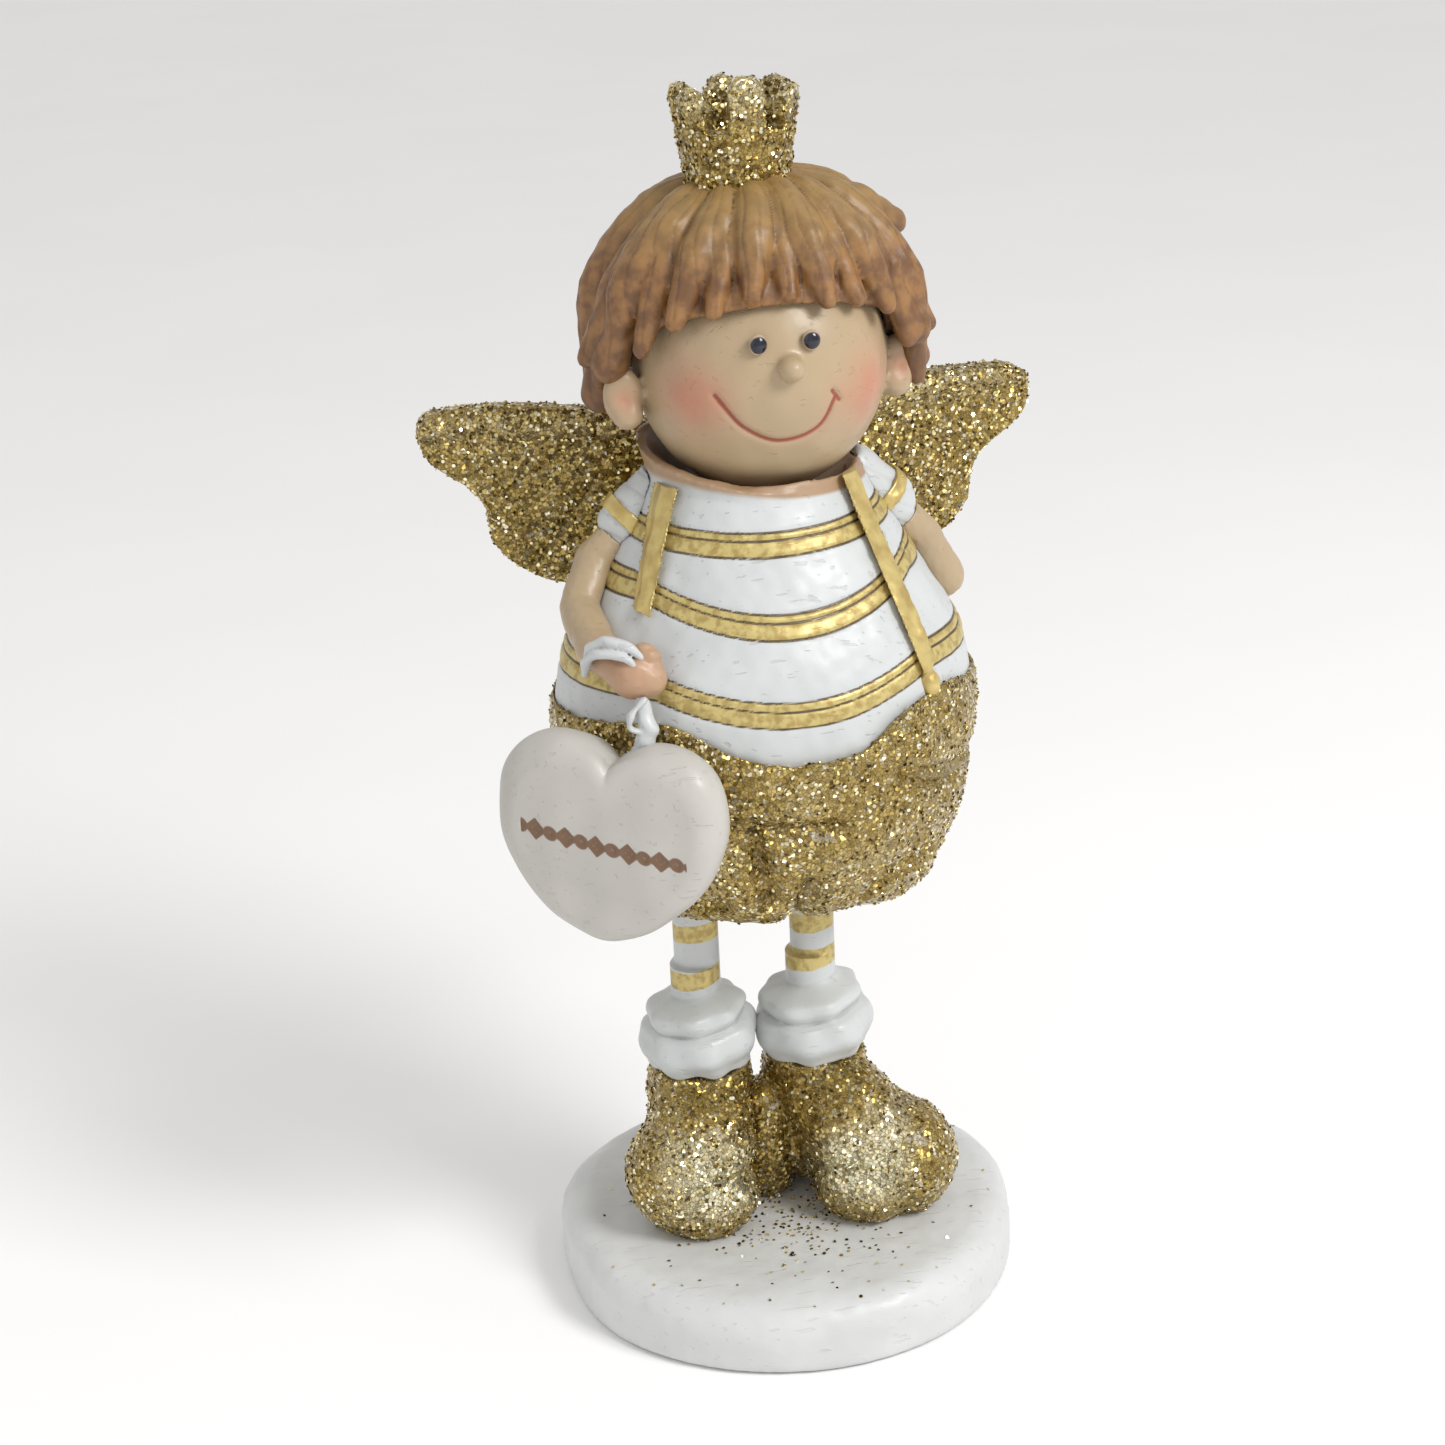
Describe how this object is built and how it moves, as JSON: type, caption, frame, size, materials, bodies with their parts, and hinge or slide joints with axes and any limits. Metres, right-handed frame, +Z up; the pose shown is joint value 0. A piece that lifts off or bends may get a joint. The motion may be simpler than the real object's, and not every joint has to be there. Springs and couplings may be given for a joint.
{
  "type": "resin angel figurine",
  "caption": "Standing child angel with wings, crown and heart on a pebble-shaped plate; the head wobbles on a hidden coil spring.",
  "frame": {"origin": "middle of the plate's underside", "axes": "+Z up, the figure faces -Y, +X towards its left hand"},
  "size_m": [0.0615, 0.0466, 0.1206],
  "materials": {
    "white_paint": "satin off-white paint on cast resin",
    "gold_glitter": "gold glitter in clear varnish on cast resin",
    "banded_stocking": "satin off-white paint with metallic gold bands on cast resin",
    "striped_shirt": "satin off-white paint with engraved metallic gold stripes on cast resin",
    "gold_paint": "metallic gold paint on cast resin",
    "skin": "satin skin-coloured paint on cast resin",
    "face_paint": "satin skin-coloured paint with rosy cheeks and a painted smile on cast resin",
    "eye_gloss": "glossy dark paint",
    "hair_paint": "satin brown paint with darker grooves on cast resin",
    "heart_paint": "satin off-white paint with a row of gold ornaments on cast resin",
    "peg_plastic": "moulded plastic",
    "spring_steel": "bare spring wire"
  },
  "bodies": {
    "figure": {"base_plate": "white_paint", "right_shoe": "gold_glitter", "left_shoe": "gold_glitter", "right_sock_cuff": "white_paint", "left_sock_cuff": "white_paint", "right_leg": "banded_stocking", "left_leg": "banded_stocking", "shorts": "gold_glitter", "shirt": "striped_shirt", "right_suspender": "gold_paint", "left_suspender": "gold_paint", "left_suspender_clip": "gold_paint", "right_sleeve": "white_paint", "left_sleeve": "white_paint", "right_sleeve_band": "gold_paint", "left_sleeve_band": "gold_paint", "right_arm": "skin", "left_arm": "skin", "right_hand": "skin", "left_hand": "skin", "ribbon_loop": "white_paint", "ribbon_tail": "white_paint", "heart": "heart_paint", "right_wing": "gold_glitter", "left_wing": "gold_glitter", "neck_collar": "skin", "spring_peg": "peg_plastic"},
    "spring_body": {"neck_spring": "spring_steel"},
    "plug_body": {"head_plug": "peg_plastic"},
    "head_body": {"head": "face_paint", "nose": "face_paint", "right_ear": "face_paint", "left_ear": "face_paint", "eyes": "eye_gloss", "hair_cap": "hair_paint", "hair_fringe": "hair_paint", "hair_right_locks": "hair_paint", "hair_left_locks": "hair_paint", "hair_back_locks": "hair_paint", "hair_top_tufts": "hair_paint", "crown": "gold_glitter"}
  },
  "joints": [
    {"name": "head_nod", "type": "hinge", "parent": "figure", "child": "spring_body", "pos_m": [0, 0.0018, 0.0818], "axis": [1, 0, 0], "range_deg": [-3.2, 3.2], "stiffness_Nm_per_rad": 0.012, "deforming": ["neck_spring"]},
    {"name": "head_sway", "type": "hinge", "parent": "spring_body", "child": "plug_body", "pos_m": [0, 0.0018, 0.0818], "axis": [0, 1, 0], "range_deg": [-3.2, 3.2], "stiffness_Nm_per_rad": 0.012, "deforming": ["neck_spring"]},
    {"name": "head_turn", "type": "hinge", "parent": "plug_body", "child": "head_body", "pos_m": [0, 0.0018, 0.0818], "axis": [0, 0, 1], "range_deg": [-8, 8], "stiffness_Nm_per_rad": 0.01, "deforming": ["neck_spring"]}
  ]
}
